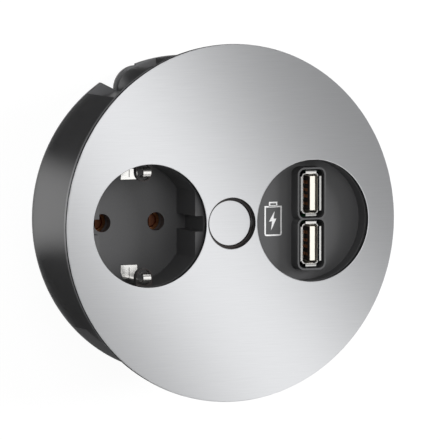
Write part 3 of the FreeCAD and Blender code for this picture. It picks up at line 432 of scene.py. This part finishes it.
def softened(node, width):
    bm = nodeCopy(node)
    bmesh.ops.dissolve_limit(bm, angle_limit=flatAngle, verts=bm.verts, edges=bm.edges)
    sharp = [e for e in bm.edges if len(e.link_faces) == 2 and e.calc_face_angle(0) > sharpAngle]
    bmesh.ops.bevel(bm, geom=sharp, offset=width * mm, segments=roundSegments, profile=0.5,
                    affect="EDGES", clamp_overlap=True, material=-1)
    return placePiece(meshFrom(bm, node + "_finished"), node + "_finished", node)


finished = {node: softened(node, width) for node, width in edgeRounds.items()}
print("rounded edges:", len(finished))

# Second finishes on these pieces: a painted highlight on the flange's edge, painted light on the rear plate's
# inner face, and painted shade on the sides of the ports' tongues, in the button's well and on the guards
# round the earth clips.
second = {"edgeInset": 0.3, "edgeHeight": 1.35, "plateTop": -38, "buttonWell": 9.0, "guards": (-2.7, -2.1)}
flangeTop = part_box("housing_frame")[1]
edgeReach = flangeTop.x - second["edgeInset"] * mm
edgeFoot = flangeTop.z - second["edgeHeight"] * mm
bm = bmesh.new()
bm.from_mesh(finished["housing_frame"].data)
bmesh.ops.bisect_plane(bm, geom=bm.verts[:] + bm.edges[:] + bm.faces[:], dist=mergeReach,
                       plane_co=(0, 0, edgeFoot), plane_no=(0, 0, 1))
bm.to_mesh(finished["housing_frame"].data)
bm.free()
# Painted pale grey: a painted highlight on the flange's edge band and painted light on the rear plate's face
# in the notch.
paintedLightFinish = paintedLightBlack()
refinish(finished["housing_frame"], paintedLightFinish,
         lambda face: face.center.xy.length > edgeReach and face.center.z > edgeFoot)
refinish(finished["rear_cover"], paintedLightFinish,
         lambda face: face.normal.z > facing and face.center.z < second["plateTop"] * mm)
# Painted shade on the tongues' left sides, in the button's well and on the guards' tops.
paintedShadeFinish = paintedShadeBlack()
for side in ("upper", "lower"):
    refinish(finished["usb_tongue_" + side], paintedShadeFinish, lambda face: face.normal.x < -facing)
for node in ("housing_frame", "cover_carrier"):
    refinish(finished[node], paintedShadeFinish, lambda face: face.center.xy.length < second["buttonWell"] * mm)
guardLow, guardHigh = (height * mm for height in second["guards"])
refinish(finished["socket_insert"], paintedShadeFinish,
         lambda face: face.normal.z > facing and guardLow < face.center.z < guardHigh)
print("second finishes")


# Springs that the button bends: held by the housing at one end, moved by the button at the other. Each is
# shown as a still copy that rides on no body.
springs = {"button_spring": ((0, 0, -8.0), (0, 0, -3.0)),
           "latch_spring_upper": ((-5.6, 31, -3.2), (-2.6, 31, -3.2)),
           "latch_spring_lower": ((5.6, -31, -3.2), (2.6, -31, -3.2))}
for node, (held, moved) in springs.items():
    piece = placeMesh(nodeCopy(node), node + "_sprung", node, rides=False)
    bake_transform(piece)
print("springs:", len(springs))


# Charging ports: a drawn shell of nickel-plated sheet whose four lips curl out at the mouth.
# The right lip's bend faces the dark recess, so it is painted dark as a painted dark reflection, and this
# strip parts the mouth from the lip.
port = {"sheet": 0.3, "corner": 0.9, "cornerSteps": 6, "flare": 0.8, "bend": 0.42, "bendSteps": 6,
        "lipLong": 11.2, "lipShort": 3.8, "farSide": 2.5, "shadedBendTilts": (0.3, 0.95)}


def addLip(bm, across, length, mouth, turn):
    before = set(bm.verts)
    verts = bmesh.ops.create_grid(bm, x_segments=1, y_segments=1, size=0.5)["verts"]
    bmesh.ops.scale(bm, verts=verts, vec=(port["sheet"], length, 1))
    bmesh.ops.translate(bm, verts=verts, vec=((across - port["sheet"]) / 2, 0, mouth))
    turned = bmesh.ops.spin(bm, geom=[verts[0].link_faces[0]], cent=(across / 2 + port["bend"], 0, mouth),
                            axis=(0, 1, 0), angle=math.radians(90), steps=port["bendSteps"])["geom_last"]
    tip = [f for f in turned if isinstance(f, bmesh.types.BMFace)]
    ledge = vertsOf(bmesh.ops.extrude_face_region(bm, geom=tip)["geom"])
    bmesh.ops.translate(bm, verts=ledge, vec=(port["flare"] - port["bend"], 0, 0))
    bmesh.ops.delete(bm, geom=[f for f in tip if f.is_valid], context="FACES_ONLY")
    bmesh.ops.rotate(bm, verts=[v for v in bm.verts if v not in before], cent=(0, 0, 0),
                     matrix=Matrix.Rotation(turn, 3, "Z"))


def portShell(node):
    low, high = (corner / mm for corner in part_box(node))
    middle = (low + high) / 2
    width = high.x - low.x - 2 * port["flare"]
    length = high.y - low.y - 2 * port["flare"]
    mouth = high.z - port["bend"] - port["sheet"]
    bm = bmesh.new()
    verts = bmesh.ops.create_grid(bm, x_segments=1, y_segments=1, size=0.5)["verts"]
    bmesh.ops.scale(bm, verts=verts, vec=(width, length, 1))
    bmesh.ops.bevel(bm, geom=verts, offset=port["corner"], segments=port["cornerSteps"], profile=0.5,
                    affect="VERTICES", material=-1)
    face = max(bm.faces, key=lambda f: f.calc_area())
    bmesh.ops.inset_region(bm, faces=[face], thickness=port["sheet"], use_boundary=True, use_even_offset=True)
    bmesh.ops.delete(bm, geom=[face], context="FACES_ONLY")
    bmesh.ops.translate(bm, verts=bm.verts, vec=(0, 0, low.z))
    raised(bm, (0, 0, mouth - low.z))
    for number in range(2):
        addLip(bm, width, port["lipLong"], mouth, number * math.pi)
        addLip(bm, length, port["lipShort"], mouth, (number + 0.5) * math.pi)
    bmesh.ops.translate(bm, verts=bm.verts, vec=(middle.x, middle.y, 0))
    bmesh.ops.scale(bm, verts=bm.verts, vec=(mm, mm, mm))
    farLip = (middle.x + port["farSide"]) * mm
    steep, shallow = port["shadedBendTilts"]
    refinish(placeMesh(bm, node + "_drawn", node), edgeAndShadeFinish,
             lambda face: face.center.x > farLip and steep < face.normal.z < shallow)


for side in ("upper", "lower"):
    portShell("usb_shell_" + side)
print("port shells")


# Spring leaves that close the mouth of each pin contact until a pin spreads them.
leaves = {"radius": 2.4, "steps": 48, "slit": 0.16, "drop": 0.9, "height": 4.0, "taper": 0.8, "round": 0.5,
          "roundSegments": 4}


def pinLeaves(node):
    low, high = (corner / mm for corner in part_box(node))
    bm = bmesh.new()
    bmesh.ops.create_circle(bm, cap_ends=True, segments=leaves["steps"], radius=leaves["radius"])
    for edge in (-leaves["slit"] / 2, leaves["slit"] / 2):
        bmesh.ops.bisect_plane(bm, geom=bm.verts[:] + bm.edges[:] + bm.faces[:],
                               plane_co=(edge, 0, 0), plane_no=(1, 0, 0))
    slit = [f for f in bm.faces if abs(f.calc_center_median().x) < leaves["slit"] / 2]
    bmesh.ops.delete(bm, geom=slit, context="FACES")
    foot = raised(bm, (0, 0, -leaves["height"]))
    bmesh.ops.scale(bm, verts=foot, vec=(leaves["taper"], leaves["taper"], 1))
    tops = [e for e in bm.edges if all(v.co.z > -mergeReach / mm for v in e.verts)]
    bmesh.ops.bevel(bm, geom=tops, offset=leaves["round"], segments=leaves["roundSegments"], profile=0.5,
                    affect="EDGES", clamp_overlap=True, material=-1)
    bmesh.ops.translate(bm, verts=bm.verts, vec=((low.x + high.x) / 2, 0, high.z - leaves["drop"]))
    bmesh.ops.scale(bm, verts=bm.verts, vec=(mm, mm, mm))
    return placeMesh(bm, node + "_leaves", node, replaced=False)


leafFinish = tarnishedBronze()
for name in ("line_contact", "neutral_contact"):
    refinish(pinLeaves(name), leafFinish, lambda face: True)
print("pin contact leaves")


# Battery mark printed on the charger's floor: a bar with a terminal, and a flash inside it.
battery = {"place": (17.9, -0.3, -4.6), "width": 6.15, "height": 9.8, "line": 0.48, "corner": 0.8,
           "cornerSteps": 6, "terminalWidth": 3.0, "terminalHeight": 1.1, "thickness": 0.03,
           "flash": [(0.5, 3.1), (-1.45, -0.15), (-0.35, -0.15), (-0.75, -3.1), (1.2, 0.75), (0.15, 0.75)]}


def addOutline(bm, width, height, middle, corner):
    # A flat ring of the print's line width, with its lower corners rounded.
    verts = bmesh.ops.create_grid(bm, x_segments=1, y_segments=1, size=0.5)["verts"]
    bmesh.ops.scale(bm, verts=verts, vec=(width, height, 1))
    bmesh.ops.translate(bm, verts=verts, vec=(0, middle, 0))
    face = verts[0].link_faces[0]
    if corner:
        lower = [v for v in verts if v.co.y < middle]
        bmesh.ops.bevel(bm, geom=lower, offset=corner, segments=battery["cornerSteps"], profile=0.5,
                        affect="VERTICES", material=-1)
        face = max(bm.faces, key=lambda f: f.calc_area())
    bmesh.ops.inset_region(bm, faces=[face], thickness=battery["line"], use_boundary=True,
                           use_even_offset=True)
    bmesh.ops.delete(bm, geom=[face], context="FACES_ONLY")


def batteryMark():
    bm = bmesh.new()
    addOutline(bm, battery["width"], battery["height"], 0, battery["corner"])
    terminalMiddle = (battery["height"] + battery["terminalHeight"]) / 2
    addOutline(bm, battery["terminalWidth"], battery["terminalHeight"] + battery["line"], terminalMiddle, 0)
    bm.faces.new([bm.verts.new((x, y, 0)) for x, y in battery["flash"]])
    bmesh.ops.scale(bm, verts=bm.verts, vec=(mm, mm, mm))
    bmesh.ops.translate(bm, verts=bm.verts, vec=Vector(battery["place"]) * mm)
    bmesh.ops.recalc_face_normals(bm, faces=bm.faces)
    raised(bm, (0, 0, battery["thickness"] * mm))
    bmesh.ops.recalc_face_normals(bm, faces=bm.faces)
    mesh = meshFrom(bm, "battery_mark")
    mesh.materials.append(printInk())
    mark = bpy.data.objects.new("battery_mark", mesh)
    bpy.context.scene.collection.objects.link(mark)
    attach(mark, bodyOf["usb_insert"])


batteryMark()
print("battery mark")


# Every CAD node still shown takes the finish of its slot.
for name, node in nodes.items():
    if not node.hide_render:
        node.data.materials.clear()
        node.data.materials.append(finishes[slotOf[name]])


# Camera at the photograph's place, aimed just left of the middle of the cover.
viewpoint = {"azimuth": 24.03, "elevation": 4.58, "roll": 0.072, "distance": 2181, "lens": 552.3,
             "aim": (-3.78, 1.13, 1.63), "clipStart": 50, "clipEnd": 20000}
turn = math.radians(viewpoint["azimuth"])
lift = math.radians(viewpoint["elevation"])
back = Vector((-math.sin(turn) * math.cos(lift), math.sin(lift), math.cos(turn) * math.cos(lift)))
right = Vector((math.cos(turn), 0, math.sin(turn)))
upward = back.cross(right)
roll = Matrix.Rotation(math.radians(viewpoint["roll"]), 3, "Z")
axes = Matrix((right, upward, back)).transposed() @ roll
cameraData = bpy.data.cameras.new("camera")
cameraData.lens = viewpoint["lens"]
camera = bpy.data.objects.new("camera", cameraData)
bpy.context.scene.collection.objects.link(camera)
aim = Vector(viewpoint["aim"]) * mm
camera.matrix_world = Matrix.Translation(aim + back * viewpoint["distance"] * mm) @ axes.to_4x4()
cameraData.clip_start = viewpoint["clipStart"] * mm
cameraData.clip_end = viewpoint["clipEnd"] * mm
bpy.context.scene.camera = camera

# Studio. A key lamp from the upper right front lights the wells from their open side, a graded
# card gives the steel its soft diagonal band, and a graded sheet on the floor darkens the side.
studio = {"ambient": 0.36, "floorHeight": -40.4, "floorSize": 6000, "floorGlow": 0.95, "floorSeen": 0.08,
          "floorBounce": 0.45,
          "keyPlace": (1300, 300, 1050), "keySize": (700, 700), "keyLevel": 21.0,
          "fillPlace": (-350, 500, 1900), "fillSize": (900, 700), "fillLevel": 5.5,
          "cardHeight": 120, "cardSize": 620, "cardDark": 0.29, "cardBright": 1.30, "bandWidth": 35,
          "bandPoint": (17.5, -51), "bandTurn": 34.6,
          "sheetInner": 53.0, "sheetOuter": 420.0, "sheetHeight": -40.3, "sheetStart": 50, "sheetEnd": 262,
          "sheetSteps": 64, "gapMiddle": 174.7, "gapInner": 4, "gapOuter": 22, "gapGlow": 1.4}


def lamp(name, place, size, level):
    # Level is the lamp's own brightness, where 1 is white paper in plain light.
    data = bpy.data.lights.new(name, "AREA")
    data.shape = "RECTANGLE"
    data.size, data.size_y = [s * mm for s in size]
    data.energy = level * math.pi * data.size * data.size_y
    light = bpy.data.objects.new(name, data)
    bpy.context.scene.collection.objects.link(light)
    place = Vector(place) * mm
    light.matrix_world = Matrix.Translation(place) @ place.to_track_quat("Z", "Y").to_matrix().to_4x4()
    light.visible_camera = light.visible_glossy = False


lamp("key", studio["keyPlace"], studio["keySize"], studio["keyLevel"])
lamp("fill", studio["fillPlace"], studio["fillSize"], studio["fillLevel"])


def stagePiece(bm, name, material, glossyOnly):
    mesh = meshFrom(bm, name)
    mesh.materials.append(material)
    piece = bpy.data.objects.new(name, mesh)
    bpy.context.scene.collection.objects.link(piece)
    if glossyOnly:
        piece.visible_camera = piece.visible_diffuse = False
        piece.visible_shadow = piece.visible_transmission = False


def stageGrid(size, place):
    bm = bmesh.new()
    bmesh.ops.create_grid(bm, x_segments=1, y_segments=1, size=size * mm / 2)
    bmesh.ops.translate(bm, verts=bm.verts, vec=Vector(place) * mm)
    return bm


def seenDirectly(tree):
    # 1 for the rays that show the background: the camera's, mirrored ones and those through glass.
    path = addNode(tree, "LightPath")
    first = addNode(tree, "Math", {"operation": "MAXIMUM"},
                    {0: (path, "Is Camera Ray"), 1: (path, "Is Glossy Ray")})
    return addNode(tree, "Math", {"operation": "MAXIMUM"},
                   {0: (first, "Value"), 1: (path, "Is Transmission Ray")})


def glowMaterial(name):
    material = bpy.data.materials.new(name)
    material.use_nodes = True
    material.node_tree.nodes.clear()
    return material, material.node_tree


def glowBy(tree, level):
    glow = addNode(tree, "Emission", {}, {"Strength": (level, "Result")})
    addNode(tree, "OutputMaterial", {}, {"Surface": (glow, "Emission")})


def gradedCard(middle):
    # Glow falls away evenly on both sides of a diagonal line.
    material, tree = glowMaterial("graded card")
    turn = math.radians(studio["bandTurn"])
    across = Vector((math.cos(turn), math.sin(turn)))
    coords = addNode(tree, "TexCoord")
    line = addNode(tree, "VectorMath", {"operation": "DOT_PRODUCT", 1: (across.x, across.y, 0)},
                   {0: (coords, "Object")})
    shift = addNode(tree, "Math", {"operation": "SUBTRACT", 1: across.dot(middle) * mm},
                    {0: (line, "Value")})
    ratio = addNode(tree, "Math", {"operation": "DIVIDE", 1: studio["bandWidth"] * mm},
                    {0: (shift, "Value")})
    square = addNode(tree, "Math", {"operation": "MULTIPLY"},
                     {0: (ratio, "Value"), 1: (ratio, "Value")})
    fall = addNode(tree, "Math", {"operation": "MULTIPLY", 1: -1.0}, {0: (square, "Value")})
    bell = addNode(tree, "Math", {"operation": "EXPONENT"}, {0: (fall, "Value")})
    level = addNode(tree, "MapRange", {"To Min": studio["cardDark"], "To Max": studio["cardBright"]},
                    {"Value": (bell, "Value")})
    glowBy(tree, level)
    return material


# The card stands where the cover mirrors the camera, so a cover point maps straight onto it.
mirrored = Vector((-back.x, -back.y)) / back.z * studio["cardHeight"]
spread = 1 + studio["cardHeight"] / (viewpoint["distance"] * back.z)
bandMiddle = mirrored + Vector(studio["bandPoint"]) * spread
cardPlace = (mirrored.x, mirrored.y, studio["cardHeight"])
stagePiece(stageGrid(studio["cardSize"], cardPlace), "graded_card", gradedCard(bandMiddle), True)


def gradedSheet():
    # Black, with one soft bright gap towards the left.
    material, tree = glowMaterial("graded sheet")
    middle = math.radians(studio["gapMiddle"])
    gap = (math.cos(middle), math.sin(middle), 0)
    coords = addNode(tree, "TexCoord")
    flat = addNode(tree, "VectorMath", {"operation": "MULTIPLY", 1: (1, 1, 0)},
                   {0: (coords, "Object")})
    outward = addNode(tree, "VectorMath", {"operation": "NORMALIZE"}, {0: (flat, "Vector")})
    near = addNode(tree, "VectorMath", {"operation": "DOT_PRODUCT", 1: gap}, {0: (outward, "Vector")})
    level = addNode(tree, "MapRange", {"interpolation_type": "SMOOTHSTEP", "To Min": 0.0,
                                       "From Min": math.cos(math.radians(studio["gapOuter"])),
                                       "From Max": math.cos(math.radians(studio["gapInner"])),
                                       "To Max": studio["gapGlow"]}, {"Value": (near, "Value")})
    glowBy(tree, level)
    return material


bm = bmesh.new()
begin = math.radians(studio["sheetStart"])
ends = [bm.verts.new(Vector((math.cos(begin), math.sin(begin), 0)) * studio[r] * mm)
        for r in ("sheetInner", "sheetOuter")]
edge = bm.edges.new(ends)
bmesh.ops.spin(bm, geom=[edge, *ends], cent=(0, 0, 0), axis=(0, 0, 1), steps=studio["sheetSteps"],
               angle=math.radians(studio["sheetEnd"] - studio["sheetStart"]))
bmesh.ops.translate(bm, verts=bm.verts, vec=(0, 0, studio["sheetHeight"] * mm))
stagePiece(bm, "graded_sheet", gradedSheet(), True)

# Plain pale floor: white to the camera and in reflections, and it keeps a soft shadow.
material, tree, shader = newMaterial("pale floor", {"Roughness": 1.0, "Specular IOR Level": 0.0})
shader.inputs["Emission Color"].default_value = (1, 1, 1, 1)
seen = seenDirectly(tree)
glow = addNode(tree, "Math", {"operation": "MULTIPLY", 1: studio["floorGlow"]}, {0: (seen, "Value")})
shade = addNode(tree, "MapRange", {"To Min": studio["floorBounce"], "To Max": studio["floorSeen"]},
                {"Value": (seen, "Value")})
grey = addNode(tree, "CombineColor", {}, {channel: (shade, "Result") for channel in range(3)})
tree.links.new(glow.outputs["Value"], shader.inputs["Emission Strength"])
tree.links.new(grey.outputs["Color"], shader.inputs["Base Color"])
stagePiece(stageGrid(studio["floorSize"], (0, 0, studio["floorHeight"])), "floor", material, False)

# Plain light: white where it is seen and at the ambient level for the light on the pieces.
world = bpy.data.worlds.new("studio")
bpy.context.scene.world = world
world.use_nodes = True
tree = world.node_tree
background = tree.nodes["Background"]
background.inputs["Color"].default_value = (1, 1, 1, 1)
seen = seenDirectly(tree)
level = addNode(tree, "MapRange", {"To Min": studio["ambient"], "To Max": 1.0}, {"Value": (seen, "Value")})
tree.links.new(level.outputs["Result"], background.inputs["Strength"])

bpy.context.scene.view_settings.view_transform = "Standard"
print("camera and light")
